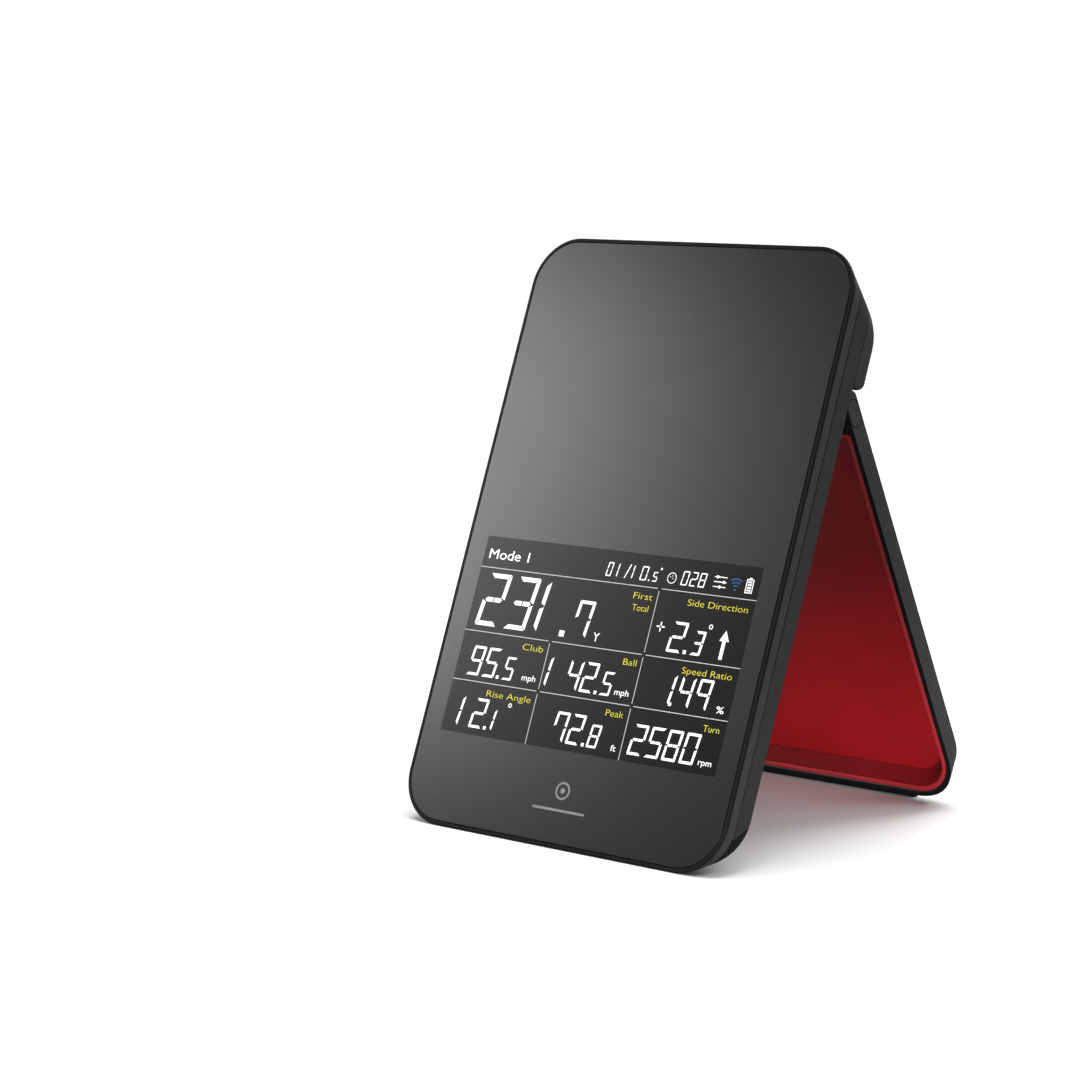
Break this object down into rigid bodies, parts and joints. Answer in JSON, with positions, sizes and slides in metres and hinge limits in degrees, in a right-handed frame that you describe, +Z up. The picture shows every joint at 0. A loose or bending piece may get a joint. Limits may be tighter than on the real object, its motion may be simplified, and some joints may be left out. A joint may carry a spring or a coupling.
{
  "type": "golf launch monitor",
  "caption": "Slab-shaped portable radar launch monitor with a full-front smoked lens over a segment display, leaning back on its fold-out rear stand.",
  "frame": {"origin": "centre of the footprint on the floor, with the stand open", "axes": "+Z up, +X to the right as a viewer in front of the display sees it, the lens faces -Y and up"},
  "size_m": [0.133, 0.1402, 0.1902],
  "materials": {
    "case_plastic": "satin black, finely ribbed on the side bands",
    "dark_plastic": "matt black",
    "red_plastic": "satin red",
    "rubber": "matt black, soft",
    "smoked_lens": "smoked, glossy",
    "steel": "plain",
    "shield_tin": "tinned",
    "circuit_board": "green solder mask",
    "battery_sleeve": "blue shrink sleeve"
  },
  "bodies": {
    "case": {"front_lens": "smoked_lens", "lens_gasket": "rubber", "front_bezel": "case_plastic", "rear_housing": "case_plastic", "bulge_cover": "case_plastic", "base_cap": "rubber", "lcd_panel": "smoked_lens", "lcd_tray": "shield_tin", "main_board": "circuit_board", "radar_board": "circuit_board", "radar_shield": "shield_tin", "battery_pack": "battery_sleeve", "speaker": "dark_plastic", "side_board": "circuit_board", "power_switch": "dark_plastic", "mode_switch": "dark_plastic", "usb_c_port": "steel", "hinge_bracket_left": "steel", "hinge_bracket_right": "steel", "housing_screw_1": "steel", "housing_screw_2": "steel", "housing_screw_3": "steel", "housing_screw_4": "steel", "cover_screw_1": "steel", "cover_screw_2": "steel", "bracket_screw_left_1": "steel", "bracket_screw_left_2": "steel", "bracket_screw_right_1": "steel", "bracket_screw_right_2": "steel"},
    "stand": {"stand_frame": "case_plastic", "stand_liner": "red_plastic", "stand_foot": "rubber", "hinge_pin_left": "steel", "hinge_pin_right": "steel", "friction_washer_left": "steel", "friction_washer_right": "steel", "hinge_cap_left": "dark_plastic", "hinge_cap_right": "dark_plastic"},
    "power_button": {"power_button": "dark_plastic"},
    "mode_button": {"mode_button": "dark_plastic"}
  },
  "joints": [
    {"name": "stand_hinge", "type": "hinge", "parent": "case", "child": "stand", "pos_m": [0, 0.00042, 0.13903], "axis": [1, 0, 0], "range_deg": [-48.3, 0]},
    {"name": "power_button_press", "type": "slide", "parent": "case", "child": "power_button", "axis": [1, 0, 0], "range_m": [0, 0.00045], "stiffness_N_per_m": 800},
    {"name": "mode_button_press", "type": "slide", "parent": "case", "child": "mode_button", "axis": [1, 0, 0], "range_m": [0, 0.00045], "stiffness_N_per_m": 800}
  ]
}
